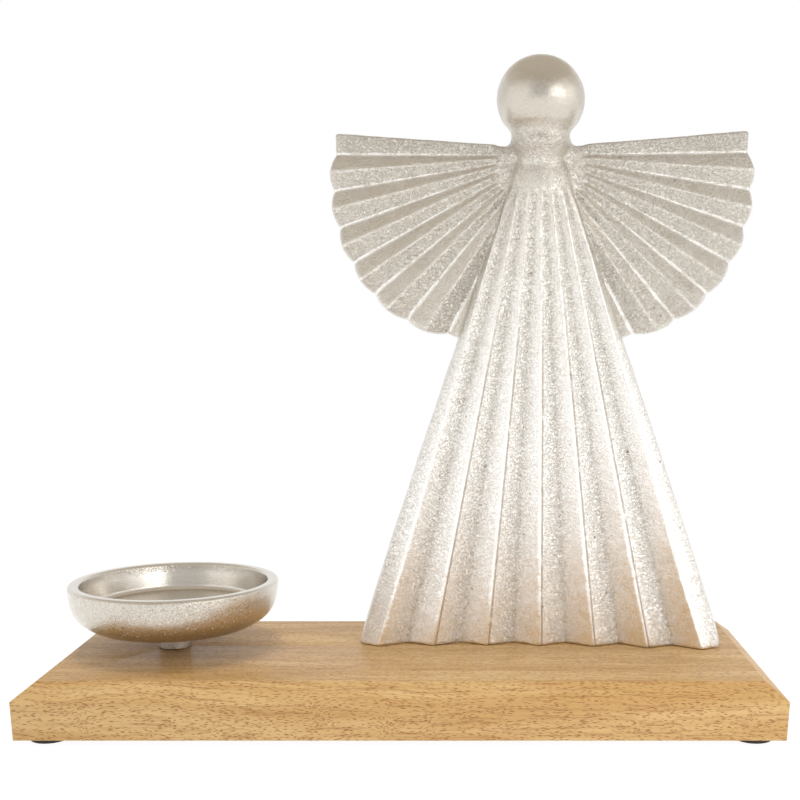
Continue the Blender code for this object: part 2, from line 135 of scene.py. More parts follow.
@dataclass(frozen=True)
class Term:
    """A number in a node tree. Arithmetic on it adds Math nodes to the tree."""

    maker: "TreeMaker"
    socket: Socket

    __add__ = arithmetic("ADD")
    __radd__ = arithmetic("ADD", swapped=True)
    __sub__ = arithmetic("SUBTRACT")
    __rsub__ = arithmetic("SUBTRACT", swapped=True)
    __mul__ = arithmetic("MULTIPLY")
    __rmul__ = arithmetic("MULTIPLY", swapped=True)
    __truediv__ = arithmetic("DIVIDE")
    __rtruediv__ = arithmetic("DIVIDE", swapped=True)
    power = arithmetic("POWER")

    def __neg__(self) -> "Term":
        """The term with its sign turned."""
        return self.maker.math("MULTIPLY", self, -1.0)

    def clamped(self) -> "Term":
        """The term held between 0 and 1."""
        return self.maker.math("ADD", self, 0.0, clamp=True)

    def size(self) -> "Term":
        """The term without its sign."""
        return self.maker.math("ABSOLUTE", self)


Source = float | Socket | Term


class TreeMaker:
    """Adds nodes to one tree and links them."""

    def __init__(self, tree: Tree) -> None:
        """Keeps the tree that nodes are added to."""
        self.tree = tree

    def feed(self, socket: Socket, source: Source) -> None:
        """Links a source to a socket, or writes it there as a plain value."""
        if isinstance(source, Term):
            source = source.socket
        if isinstance(source, Socket):
            self.tree.links.new(source, socket)
        else:
            socket.default_value = source

    def node(self, kind: str, inputs: dict | None = None, **settings: object) -> bpy.types.Node:
        """Adds a node.

        Args:
            kind: Blender's name for the type of node.
            inputs: Sources by the name or number of the input.
            settings: Properties to set on the node.

        Returns:
            The new node.
        """
        made = self.tree.nodes.new(kind)
        for name, value in settings.items():
            setattr(made, name, value)
        for key, source in (inputs or {}).items():
            self.feed(made.inputs[key], source)
        return made

    def term(self, socket: Socket) -> Term:
        """A socket as a term of a formula."""
        return Term(self, socket)

    def math(self, operation: str, *sources: Source, clamp: bool = False) -> Term:
        """Adds a Math node on the sources and returns its result."""
        made = self.node("ShaderNodeMath", operation=operation, use_clamp=clamp)
        for socket, source in zip(made.inputs, sources):
            self.feed(socket, source)
        return self.term(made.outputs[0])

    def mix(self, start: Source, end: Source, share: Source) -> Term:
        """The value a share of the way from start to end."""
        return self.math("MULTIPLY_ADD", share, end - start, start)

    def smooth(self, value: Source, low: Source, high: Source) -> Term:
        """0 below low and 1 above high, with a smooth rise between them."""
        made = self.node("ShaderNodeMapRange", interpolation_type="SMOOTHSTEP")
        for key, source in (("Value", value), ("From Min", low), ("From Max", high)):
            self.feed(made.inputs[key], source)
        return self.term(made.outputs["Result"])

    def fall(self, value: Source, low: Source, high: Source) -> Term:
        """1 below low and 0 above high, with a smooth fall between them."""
        return 1.0 - self.smooth(value, low, high)

    def length(self, first: Term, second: Term) -> Term:
        """The length of two parts that stand at a right angle."""
        return self.math("SQRT", first * first + second * second)

    def round_edge(self, inside: Term) -> Term:
        """Thickness share near a rim: 0 on the rim, rising as a quarter circle to 1 at inside = 1."""
        away = 1.0 - inside.clamped()
        return self.math("SQRT", 1.0 - away * away)

    def split(self, vector: Socket) -> tuple[Term, Term, Term]:
        """The three parts of a vector."""
        made = self.node("ShaderNodeSeparateXYZ", {0: vector})
        return tuple(self.term(socket) for socket in made.outputs)

    def vector(self, x: Source, y: Source, z: Source) -> Socket:
        """A vector put together from its parts."""
        return self.node("ShaderNodeCombineXYZ", {0: x, 1: y, 2: z}).outputs[0]

    def noise(self, coordinates: Socket, scale: Source, detail: float = 2.0, **more: float) -> Term:
        """A noise value from 0 to 1 over the coordinates."""
        inputs = {"Vector": coordinates, "Scale": scale, "Detail": detail}
        inputs |= {name.title(): value for name, value in more.items()}
        return self.term(self.node("ShaderNodeTexNoise", inputs).outputs[0])

    def colour_mix(self, start: Source | Colour, end: Source | Colour, share: Source) -> Socket:
        """A colour a share of the way from start to end."""
        made = self.node("ShaderNodeMix", data_type="RGBA", clamp_factor=True)
        self.feed(made.inputs[0], share)
        for number, source in ((6, start), (7, end)):
            self.feed(made.inputs[number], (*source, 1.0) if isinstance(source, tuple) else source)
        return made.outputs[2]

    def group(self, tree: Tree, inputs: dict[str, Source]) -> dict[str, Term]:
        """Places a shader group and returns its outputs by name, as terms."""
        made = self.node("ShaderNodeGroup", inputs, node_tree=tree)
        return {socket.name: self.term(socket) for socket in made.outputs}


def open_group(
    name: str, kind: TreeKind, inputs: Sockets, outputs: Sockets
) -> tuple[TreeMaker, dict[str, Socket]]:
    """Starts a node group.

    Args:
        name: Name of the group.
        kind: Kind of its tree.
        inputs: Type of each named input, such as Float or Object.
        outputs: Type of each named output.

    Returns:
        The maker of its tree, and its input sockets by name.
    """
    tree = bpy.data.node_groups.new(name, kind.value)
    for direction, sockets in (("INPUT", inputs), ("OUTPUT", outputs)):
        for label, socket_type in sockets.items():
            tree.interface.new_socket(label, in_out=direction, socket_type=f"NodeSocket{socket_type}")
    maker = TreeMaker(tree)
    entry = maker.node("NodeGroupInput")
    return maker, {label: entry.outputs[label] for label in inputs}


def close_group(maker: TreeMaker, outputs: dict[str, Source]) -> Tree:
    """Links a group's results to its outputs and returns its tree."""
    maker.node("NodeGroupOutput", outputs)
    return maker.tree


def size_label(name: str) -> str:
    """Label of the input for a size, from its field name."""
    return name.replace("_", " ").title()


def size_values(sizes: object) -> dict[str, float]:
    """Values of a dataclass under the labels of their inputs."""
    return {size_label(item.name): getattr(sizes, item.name) for item in fields(sizes)}


def open_size_tree(
    name: str, sizes: type, extra: Sockets
) -> tuple[TreeMaker, dict[str, Term], dict[str, Socket]]:
    """Starts a geometry tree with one named input for each size of a dataclass, and one for the material.

    Args:
        name: Name of the tree.
        sizes: Dataclass whose fields are numbers.
        extra: Type of each further named input, which comes before the sizes.

    Returns:
        The maker, the sizes as terms by field name, and all input sockets by label.
    """
    labels = {item.name: size_label(item.name) for item in fields(sizes)}
    inputs = extra | dict.fromkeys(labels.values(), "Float") | {"Material": "Material"}
    maker, entry = open_group(name, TreeKind.GEOMETRY, inputs, {"Geometry": "Geometry"})
    return maker, {name: maker.term(entry[label]) for name, label in labels.items()}, entry


def finish_geometry(maker: TreeMaker, geometry: Socket, material: Socket) -> Tree:
    """Ends a geometry tree with Realize Instances and Set Material."""
    real = maker.node("GeometryNodeRealizeInstances", {"Geometry": geometry})
    dressed = maker.node("GeometryNodeSetMaterial", {"Geometry": real.outputs[0], "Material": material})
    return close_group(maker, {"Geometry": dressed.outputs[0]})


# Meshes


def new_object(name: str, mesh: bpy.types.Mesh) -> Piece:
    """Links an object for a mesh into the scene."""
    obj = bpy.data.objects.new(name, mesh)
    bpy.context.scene.collection.objects.link(obj)
    return obj


def add_tree(obj: Piece, tree: Tree, values: dict[str, object]) -> None:
    """Adds a geometry tree to an object as a modifier, with inputs set by their sockets' identifiers."""
    modifier = obj.modifiers.new(tree.name, "NODES")
    modifier.node_group = tree
    for item in tree.interface.items_tree:
        if item.item_type == "SOCKET" and item.in_out == "INPUT" and item.name in values:
            modifier[item.identifier] = values[item.name]


def settle(obj: Piece) -> Piece:
    """Turns what an object's modifiers make into its plain mesh and removes them."""
    graph = bpy.context.evaluated_depsgraph_get()
    mesh = bpy.data.meshes.new_from_object(obj.evaluated_get(graph), depsgraph=graph)
    obj.modifiers.clear()
    old = obj.data
    obj.data = mesh
    mesh.name = obj.name
    bpy.data.meshes.remove(old)
    return obj


def made_by_tree(name: str, tree: Tree, values: dict[str, object]) -> Piece:
    """An object whose plain mesh comes from a geometry tree."""
    obj = new_object(name, bpy.data.meshes.new(name))
    add_tree(obj, tree, values)
    return settle(obj)


def discard(*objects: Piece) -> None:
    """Removes helper objects and their meshes."""
    for obj in objects:
        mesh = obj.data
        bpy.data.objects.remove(obj)
        bpy.data.meshes.remove(mesh)


def place(obj: Piece, matrix: Matrix) -> None:
    """Moves an object by its mesh, so that the object stays at the origin."""
    obj.data.transform(matrix)
    obj.data.update()


def smooth_shading(obj: Piece, sharp_degrees: float) -> None:
    """Shades a mesh smooth, with edges above an angle kept sharp."""
    obj.data.shade_smooth()
    obj.data.set_sharp_from_angle(angle=math.radians(sharp_degrees))


def turned(name: str, profile: list[Point], steps: int) -> Piece:
    """A profile turned about the Z axis.

    Args:
        name: Name of the object.
        profile: Points as radius and height, down the outer side.
        steps: Number of steps round the axis.

    Returns:
        The object, with a plain closed mesh.
    """
    bm = bmesh.new()
    points = [bm.verts.new((radius, 0.0, height)) for radius, height in profile]
    edges = [bm.edges.new(pair) for pair in zip(points, points[1:])]
    bmesh.ops.spin(
        bm, geom=points + edges, axis=(0, 0, 1), cent=(0, 0, 0), angle=math.tau, steps=steps, use_merge=True
    )
    bmesh.ops.remove_doubles(bm, verts=bm.verts, dist=WELD_REACH)
    bmesh.ops.recalc_face_normals(bm, faces=bm.faces)
    mesh = bpy.data.meshes.new(name)
    bm.to_mesh(mesh)
    bm.free()
    return new_object(name, mesh)


def arc(centre: Point, radius: float, start: float, end: float, count: int) -> list[Point]:
    """Points of an arc in the radius and height plane, between two angles in degrees."""
    angles = [math.radians(start + (end - start) * step / (count - 1)) for step in range(count)]
    return [(centre[0] + radius * math.cos(a), centre[1] + radius * math.sin(a)) for a in angles]


def curve_through(points: list[Point], steps: int) -> list[Point]:
    """Points of a smooth curve that passes through all but the first and last of the given points."""
    made = []
    for near in zip(points, points[1:], points[2:], points[3:]):
        for step in range(1, steps + 1):
            t = step / steps
            shares = (
                -t + 2 * t**2 - t**3,
                2 - 5 * t**2 + 3 * t**3,
                t + 4 * t**2 - 3 * t**3,
                t**3 - t**2,
            )
            made.append(tuple(0.5 * sum(w * p[axis] for w, p in zip(shares, near)) for axis in (0, 1)))
    return made


def claim(obj: Piece, slot: Slot, node: str) -> None:
    """Makes a piece ride on the body, hides the node it stands for and logs its slot."""
    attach(obj, BODY)
    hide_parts(node)
    LOG.info("%s: %d faces, slot %s", obj.name, len(obj.data.polygons), slot.value)


# Shared effects, as shader groups


@dataclass(frozen=True)
class GrainSizes:
    """Sizes of a cast surface's grain in metres, and the share of its cells that are pits."""

    wrinkle_size: float
    wrinkle_height: float
    wave_height: float
    pit_size: float
    pit_share: float


def cast_grain_group() -> Tree:
    """Grain of a sand casting: short worm-like wrinkles, larger waves and scattered pits.

    Returns:
        A group whose outputs are a height in metres and masks of squiggly crests, hollows, pits and waves.
    """
    names = [size_label(item.name) for item in fields(GrainSizes)]
    inputs = {"Position": "Vector"} | dict.fromkeys(names, "Float")
    outputs = dict.fromkeys(("Height", "Crests", "Hollows", "Pits", "Waves"), "Float")
    maker, entry = open_group("CastGrain", TreeKind.SHADER, inputs, outputs)
    at = entry["Position"]
    sizes = (maker.term(entry[name]) for name in names)
    wrinkle_size, wrinkle_height, wave_height, pit_size, pit_share = sizes
    wrinkles = maker.noise(at, 1.0 / wrinkle_size, 2.0, roughness=0.6, distortion=1.4)
    worms = 1.0 - ((wrinkles - 0.5).size() * 9.0).clamped()
    hollows = ((0.49 - wrinkles) * 8.0).clamped()
    waves = maker.noise(at, 0.14 / wrinkle_size, 3.0, roughness=0.55)
    cells = maker.node("ShaderNodeTexVoronoi", {"Vector": at, "Scale": 0.3 / pit_size})
    chosen = maker.split(cells.outputs["Color"])[0]
    is_pit = maker.smooth(chosen, 1.0 - pit_share, 1.0 - pit_share * 0.6)
    pits = is_pit * maker.fall(cells.outputs["Distance"], 0.10, 0.22)
    relief = wrinkle_height * (1.3 * (wrinkles - 0.5) + 0.4 * (worms - 0.4))
    height = relief + wave_height * (waves - 0.5)
    height = height - pits * wrinkle_height * 0.6
    masks = {"Crests": worms, "Hollows": hollows, "Pits": pits, "Waves": waves}
    return close_group(maker, {"Height": height} | masks)


def speckle_group() -> Tree:
    """Fine speckle for moulded and plated pieces: a height in metres and a tone from 0 to 1."""
    inputs = {"Position": "Vector", "Grain Size": "Float", "Grain Height": "Float"}
    maker, entry = open_group("Speckle", TreeKind.SHADER, inputs, {"Height": "Float", "Tone": "Float"})
    grain_size = maker.term(entry["Grain Size"])
    grain = maker.noise(entry["Position"], 1.0 / grain_size, 3.0)
    broad = maker.noise(entry["Position"], 0.08 / grain_size, 2.0)
    return close_group(maker, {"Height": grain * entry["Grain Height"], "Tone": 0.5 * grain + 0.5 * broad})


def wood_grain_group() -> Tree:
    """Grain of a light hardwood that runs along X: soft bands, fine streaks and short dark flecks.

    Returns:
        A group whose outputs are masks of bands, streaks, flecks and pores.
    """
    inputs = {"Position": "Vector", "Band Width": "Float", "Fleck Length": "Float"}
    outputs = dict.fromkeys(("Bands", "Streaks", "Flecks", "Pores"), "Float")
    maker, entry = open_group("WoodGrain", TreeKind.SHADER, inputs, outputs)
    at = entry["Position"]
    band_width, fleck_length = maker.term(entry["Band Width"]), maker.term(entry["Fleck Length"])
    x, y, z = maker.split(at)
    drift = maker.noise(at, 6.0, 1.0)
    across = maker.vector(x * 0.06, y + drift * 0.02, z + drift * 0.03)
    bands = maker.noise(across, 1.0 / band_width, 3.0, roughness=0.6)
    sway = 0.012 * maker.noise(at, 24.0, 2.0)
    streaks = maker.noise(maker.vector(x * 0.03, y + sway, z + sway), 800.0, 3.0, roughness=0.7)
    sides = ((y + sway) / fleck_length * 7.0, (z + sway) / fleck_length * 6.0)
    swayed = maker.vector(x / fleck_length, *sides)
    cells = maker.node("ShaderNodeTexVoronoi", {"Vector": swayed, "Scale": 1.0, "Randomness": 1.0})
    chosen = maker.split(cells.outputs["Color"])[1]
    flecks = maker.smooth(chosen, 0.02, 0.35) * maker.fall(cells.outputs["Distance"], 0.18, 0.44)
    pores = maker.noise(maker.vector(x * 0.12, y, z), 2600.0, 2.0)
    return close_group(maker, {"Bands": bands, "Streaks": streaks, "Flecks": flecks, "Pores": pores})


@dataclass(frozen=True)
class Groups:
    """The shader groups, each built once and placed in every material that uses it."""

    cast_grain: Tree = field(default_factory=cast_grain_group)
    speckle: Tree = field(default_factory=speckle_group)
    wood_grain: Tree = field(default_factory=wood_grain_group)


def start_material(name: str) -> tuple[Material, TreeMaker, bpy.types.Node, Socket]:
    """Starts a material.

    Args:
        name: Name of the material.

    Returns:
        The material, the maker of its tree, its Principled shader and its Object coordinates.
    """
    material = bpy.data.materials.new(name)
    material.use_nodes = True
    maker = TreeMaker(material.node_tree)
    shader = material.node_tree.nodes["Principled BSDF"]
    return material, maker, shader, maker.node("ShaderNodeTexCoord").outputs["Object"]


def set_finish(maker: TreeMaker, shader: bpy.types.Node, height: Source, inputs: dict[str, Source]) -> None:
    """Feeds a shader's inputs, and a height in metres to its normal.

    Args:
        maker: Maker of the material's tree.
        shader: Its Principled shader.
        height: Height of the surface's relief.
        inputs: Sources by the name of the shader's input. A plain number is written on the input itself.
    """
    for name, source in inputs.items():
        maker.feed(shader.inputs[name], source)
    relief = maker.node("ShaderNodeBump", {"Strength": 1.0, "Distance": 1.0, "Height": height})
    maker.feed(shader.inputs["Normal"], relief.outputs["Normal"])


# Finishes


@dataclass(frozen=True)
class CastAngelMetal:
    """Nickel-toned cast aluminium: rough in the folds, rubbed bright along the ridges, with painted
    highlights and painted shade in its grain and folds.
    """

    # light is rubbed metal on the ridges, and a painted highlight on the wings' valley lines and on the
    # grain's crests
    light: Colour = (0.97, 0.96, 0.94)
    bright: Colour = (0.94, 0.925, 0.895)
    dull: Colour = (0.71, 0.665, 0.592)
    # painted shade in the grain's hollows and along the robe's valleys
    hollow: Colour = (0.60, 0.54, 0.45)
    ball: Colour = (0.58, 0.535, 0.465)
    # dark pits, and painted shade in the thin crease beside each robe ridge
    pit: Colour = (0.36, 0.30, 0.22)
    grain: GrainSizes = GrainSizes(
        wrinkle_size=0.0012, wrinkle_height=0.00070, wave_height=0.00015, pit_size=0.0010, pit_share=0.06
    )
    rough_grain: float = 0.31
    rough_smooth: float = 0.16
    rough_ridge: float = 0.20
    crease_offset: float = 0.0013
    crease_width: float = 0.0007
    crease_relief: float = 0.0002
    right_wing_from: float = 0.026
    right_wing_full: float = 0.036
    right_wing_coarse: float = 0.78

    def crease(self, maker: TreeMaker, x: Term, height: Term, robe: "RobeSizes") -> Term:
        """Thin crease just right of each ridge of the robe, a slight dent darkened with painted shade.

        Args:
            maker: Maker of the material's tree.
            x: Place across the angel, from its middle.
            height: Height above the hem.
            robe: Sizes of the robe, whose ridges the creases follow.

        Returns:
            A mask of the creases.
        """
        share = (height / robe.pleat_top).clamped()
        pitch = maker.mix(robe.pitch_hem, robe.pitch_top, share)
        line = x / pitch
        past_ridge = (line - maker.math("ROUND", line)) * pitch
        away = (past_ridge - self.crease_offset).size()
        near = maker.fall(away, 0.3 * self.crease_width, self.crease_width)
        return near * maker.fall(share, 0.55, 0.85) * maker.fall(line.size(), 2.4, 2.6)

    @staticmethod
    def stain(maker: TreeMaker, height: Term, robe: "RobeSizes") -> Term:
        """Darker band from the robe's top to the upper half of the ball."""
        rise = maker.smooth(height, robe.robe_top - 0.006, robe.robe_top + 0.004)
        return rise * maker.fall(height, robe.robe_top + 0.026, robe.robe_top + 0.040)

    def material(self, groups: Groups, robe: "RobeSizes", stand: Matrix) -> Material:
        """Builds the material.

        The mesh says how near a ridge each point is (fold), how coarse its grain is (grain) and how far its
        tone goes from dull to bright (rub). It is 0 on the wings and the ball, and above 0 on the robe.

        Args:
            groups: The shared shader groups.
            robe: Sizes of the robe.
            stand: Turn and place of the angel on the board.

        Returns:
            The material.
        """
        material, maker, shader, at = start_material("cast_angel_metal")
        own = stand.inverted()
        across = maker.node("ShaderNodeVectorMath", {0: at, 1: own.row[0].xyz}, operation="DOT_PRODUCT")
        x = maker.term(across.outputs["Value"]) + own.row[0].w
        height = maker.split(at)[2] + own.row[2].w
        marks = (maker.node("ShaderNodeAttribute", attribute_name=name) for name in MARKS)
        fold, coarse, rub = (maker.term(mark.outputs["Fac"]) for mark in marks)
        grain = maker.group(groups.cast_grain, {"Position": at} | size_values(self.grain))
        waves = grain["Waves"]
        robed = maker.smooth(rub, 0.0, 0.12)
        right_wing = maker.smooth(x, self.right_wing_from, self.right_wing_full) * (1.0 - robed)
        coarse = maker.mix(coarse, self.right_wing_coarse, right_wing * 0.8) * maker.mix(1.0, 0.85, robed)
        # On the wings the bright lines along the valleys (groove) are painted highlights; on the robe its
        # valleys get painted shade
        groove = maker.fall(fold, 0.03, 0.14)
        crest = maker.smooth(fold, 0.88, 0.98) * maker.mix(0.3, 1.0, robed)
        ridge = maker.mix(0.75 * groove, 0.0, robed) + crest
        ridge = ridge * maker.mix(0.4, 1.0, maker.smooth(waves, 0.38, 0.56))
        coarse = coarse * (1.0 - 0.85 * ridge)
        # painted shade along the crease beside each robe ridge
        crease = self.crease(maker, x, height, robe) * robed * maker.smooth(waves, 0.25, 0.45)
        tone = maker.colour_mix(self.dull, self.bright, (rub + 0.5 * (waves - 0.5)).clamped())
        # share of painted shade in the grain's hollows
        hollow = grain["Hollows"] * coarse * maker.mix(0.45, 0.30, robed)
        for colour, share in (
            (self.ball, self.stain(maker, height, robe)),
            # painted shade in the grain's hollows and along the robe's valleys
            (self.hollow, hollow + 0.30 * (groove * robed)),
            # painted highlight on the wings' valley lines and the grain's crests, with rubbed metal on the
            # ridges
            (self.light, 0.9 * ridge + 0.55 * grain["Crests"] * coarse),
            # dark pits, and painted shade in the creases
            (self.pit, grain["Pits"] * coarse + 0.65 * crease),
        ):
            tone = maker.colour_mix(tone, colour, share)
        rough = maker.mix(maker.mix(self.rough_smooth, self.rough_grain, coarse), self.rough_ridge, ridge)
        rough = rough + 0.10 * (waves - 0.5) - 0.08 * grain["Crests"] * coarse
        relief = grain["Height"] * (0.08 + 0.92 * coarse * coarse) - self.crease_relief * crease
        set_finish(maker, shader, relief, {"Base Color": tone, "Roughness": rough, "Metallic": 1.0})
        return material


@dataclass(frozen=True)
class CastDishMetal:
    """Turned cast metal: a brushed well, a bright rim and a pitted outside, with painted glints and painted
    shade.
    """

    # painted glints on the lone pits of the outside
    spark: Colour = (0.94, 0.92, 0.88)
    # the worked rim and well, and painted highlights on the grain's crests outside
    bright: Colour = (0.82, 0.78, 0.72)
    body: Colour = (0.52, 0.48, 0.415)
    # dark pit clusters, painted shade on the boss under the dish, and painted shade in the grain's hollows
    dark: Colour = (0.42, 0.36, 0.28)
    grain: GrainSizes = GrainSizes(
        wrinkle_size=0.0012, wrinkle_height=0.00012, wave_height=0.00020, pit_size=0.00050, pit_share=1.0
    )
    dot_height: float = 0.00035
    turning_height: float = 0.00001
    turnings_per_metre: float = 1500.0
    rough_cast: float = 0.06
    rough_worked: float = 0.22

    def material(self, groups: Groups, dish: "CandleDish") -> Material:
        """Builds the material, zoned by the distance from the dish's axis and by height.

        Args:
            groups: The shared shader groups.
            dish: The dish, with its sizes.

        Returns:
            The material.
        """
        material, maker, shader, at = start_material("cast_dish_metal")
        x, y, z = maker.split(at)
        radius = maker.length(x - dish.centre_x, y - dish.centre_y)
        grain = maker.group(groups.cast_grain, {"Position": at} | size_values(self.grain))
        waves, pits = grain["Waves"], grain["Pits"]
        floor = dish.rim_height - dish.well_depth
        rim = maker.smooth(z, dish.rim_height - 0.0012, dish.rim_height - 0.0004)
        inside = maker.fall(radius, dish.well_radius() - 0.001, dish.well_radius())
        well = inside * maker.smooth(z, floor - 0.002, floor)
        worked = maker.math("MAXIMUM", rim, well)
        # painted shade on the boss, which stands in the dish's shadow
        under = maker.fall(z, dish.foot_height + 0.008, dish.foot_height + 0.012)
        turning = maker.noise(maker.vector(radius, 0.0, 0.0), self.turnings_per_metre, 3.0, roughness=0.7)
        clusters = maker.smooth(waves, 0.50, 0.60)
        # lone pits become white dots, painted glints
        glint_dots = pits * (1.0 - worked) * (1.0 - clusters)
        tone = maker.colour_mix(self.body, self.bright, 0.75 * rim + (0.52 + 0.25 * turning) * well)
        for colour, share in (
            (self.dark, pits * (1.0 - 0.6 * worked) * clusters * 0.9),
            # painted glints
            (self.spark, glint_dots),
            # painted shade under the dish
            (self.dark, 0.9 * under),
            # painted shade in the grain's hollows
            (self.dark, grain["Hollows"] * 0.12),
            # painted highlights on the grain's crests
            (self.bright, grain["Crests"] * (1.0 - worked) * 0.6),
        ):
            tone = maker.colour_mix(tone, colour, share)
        rough = maker.mix(self.rough_cast, self.rough_worked, worked) + 0.08 * (waves - 0.5) + 0.3 * under
        relief = (grain["Height"] + self.dot_height * pits) * (1.0 - 0.85 * worked)
        relief = relief + self.turning_height * turning * worked
        inputs = {"Base Color": tone, "Roughness": rough, "Metallic": 1.0 - 0.8 * glint_dots}
        set_finish(maker, shader, relief, inputs)
        return material


@dataclass(frozen=True)
class VarnishedWood:
    """Light hardwood with short darker flecks under a satin varnish."""

    light: Colour = (0.77, 0.53, 0.245)
    body: Colour = (0.65, 0.405, 0.16)
    dark: Colour = (0.33, 0.110, 0.030)
    band_width: float = 0.011
    fleck_length: float = 0.0034
    rough: float = 0.46
    relief: float = 0.00003
    coat: float = 0.12
    coat_rough: float = 0.22
    specular: float = 0.3

    def material(self, groups: Groups) -> Material:
        """Builds the material with its grain along the board."""
        material, maker, shader, at = start_material("varnished_wood")
        sizes = {"Position": at, "Band Width": self.band_width, "Fleck Length": self.fleck_length}
        grain = maker.group(groups.wood_grain, sizes)
        tone = maker.colour_mix(self.light, self.body, maker.smooth(grain["Bands"], 0.36, 0.60))
        tone = maker.colour_mix(tone, self.dark, 0.42 * maker.smooth(grain["Streaks"], 0.47, 0.66))
        inputs = {
            "Base Color": maker.colour_mix(tone, self.dark, 0.95 * grain["Flecks"]),
            "Roughness": self.rough + 0.10 * (grain["Pores"] - 0.5) + 0.06 * grain["Flecks"],
            "Coat Weight": self.coat,
            "Coat Roughness": self.coat_rough,
            "Specular IOR Level": self.specular,
        }
        set_finish(maker, shader, self.relief * grain["Pores"] - self.relief * grain["Flecks"], inputs)
        return material


@dataclass(frozen=True)
class SpeckledFinish:
    """An even finish with a fine speckle, for moulded and plated pieces."""

    name: str
    light: Colour
    dark: Colour
    metallic: float
    rough: float
    rough_rise: float
    grain_size: float
    grain_height: float

    def material(self, groups: Groups) -> Material:
        """Builds the material."""
        material, maker, shader, at = start_material(self.name)
        sizes = {"Position": at, "Grain Size": self.grain_size, "Grain Height": self.grain_height}
        speckle = maker.group(groups.speckle, sizes)
        inputs = {
            "Base Color": maker.colour_mix(self.dark, self.light, speckle["Tone"]),
            "Roughness": self.rough + self.rough_rise * speckle["Tone"],
            "Metallic": self.metallic,
        }
        set_finish(maker, shader, speckle["Height"], inputs)
        return material


MOULDED_RUBBER = SpeckledFinish(
    name="moulded_rubber",
    light=(0.050, 0.040, 0.040),
    dark=(0.022, 0.017, 0.017),
    metallic=0.0,
    rough=0.62,
    rough_rise=0.20,
    grain_size=0.0006,
    grain_height=0.00005,
)

PLATED_STEEL = SpeckledFinish(
    name="plated_steel",
    light=(0.74, 0.75, 0.77),
    dark=(0.50, 0.51, 0.52),
    metallic=1.0,
    rough=0.22,
    rough_rise=0.22,
    grain_size=0.0005,
    grain_height=0.00001,
)


# The angel

# Share of the robe's height at which the bust's dome ends, just short of a point
BUST_END = 0.998
# Way down from the robe's top over which its tone goes from dull to bright
ROBE_TONE_REACH = 0.15


@dataclass(frozen=True)
class RobeSizes:
    """Sizes of the pleated robe, in the angel's own frame with the hem at height 0."""

    pleat_top: float = 0.2357
    robe_top: float = 0.2560
    half_width_hem: float = 0.0939
    half_width_top: float = 0.0164
    side_bulge: float = 0.0020
    last_ridge: float = 3.0
    pitch_hem: float = 0.0277
    pitch_top: float = 0.0053
    depth_hem: float = 0.0078
    depth_top: float = 0.0016
    fade: float = 0.0035
    front_hem: float = 0.0045
    front_top: float = 0.0040
    back_hem: float = 0.0045
    back_top: float = 0.0060
    crown_hem: float = -0.0060
    crown_top: float = 0.0090
    back_crown: float = 0.0040
    edge_radius: float = 0.0020
    pleated_share: float = 96 / 110


@dataclass(frozen=True)
class WingSizes:
    """Sizes of a fan-pleated wing, in the angel's own frame."""

    centre_height: float = 0.2528
    root_radius: float = 0.007
    notch_radius: float = 0.1110
    lobe_rise: float = 0.0017
    fullest_angle: float = math.radians(35.0)
    top_shrink: float = 0.0052
    tail_shrink: float = 0.0084
    start_angle: float = math.radians(-0.8)
    pleat_angle: float = math.radians(10.0)
    even_pleats: float = 3.5
    tail_widening: float = math.radians(0.5)
    pleats: float = 6.0
    tail_pleats: float = 6.65
    top_root_x: float = 0.0070
    top_root_rise: float = 0.0047
    top_tip_x: float = 0.1053
    top_tip_rise: float = 0.0119
    thickness: float = 0.0052
    depth_tip: float = 0.0056
    depth_root: float = 0.0012
    midplane_y: float = 0.0022
    edge_radius: float = 0.0018


def section_ring(
    maker: TreeMaker, columns: int, rows: int, ends: TubeEnds
) -> tuple[Socket, Term, Term, Term]:
    """A tube whose points are read as places on a plate.

    Args:
        maker: Maker of the tree.
        columns: Points across one side of the plate.
        rows: Steps along the plate.
        ends: How the tube's ends are closed.

    Returns:
        The tube's geometry, the place across from -1 to 1, the side from -1 in front to 1 behind, and the
        share of the way along.
    """
    tube = maker.node("GeometryNodeMeshCylinder", fill_type=ends.value)
    sizes = {"Vertices": 2 * columns, "Side Segments": rows, "Radius": 1.0, "Depth": 1.0}
    for name, value in sizes.items():
        tube.inputs[name].default_value = value
    x, y, z = maker.split(maker.node("GeometryNodeInputPosition").outputs[0])
    turn = maker.math("ARCTAN2", y, x).size() / math.pi
    side = maker.math("SIGN", maker.math("SNAP", y, 0.0001))
    return tube.outputs["Mesh"], 1.0 - 2.0 * turn, side, z + 0.5


def moved(maker: TreeMaker, geometry: Socket, **change: Socket) -> Socket:
    """Moves every point of a geometry, either to a Position or by an Offset."""
    inputs = {"Geometry": geometry} | {name.title(): value for name, value in change.items()}
    return maker.node("GeometryNodeSetPosition", inputs).outputs[0]


def stored(maker: TreeMaker, geometry: Socket, marks: tuple[Source, ...]) -> Socket:
    """Stores the marks at every point of a geometry, read before the points move."""
    for name, value in zip(MARKS, marks):
        inputs = {"Geometry": geometry, "Name": name, "Value": value}
        made = maker.node("GeometryNodeStoreNamedAttribute", inputs, data_type="FLOAT", domain="POINT")
        geometry = made.outputs[0]
    return geometry


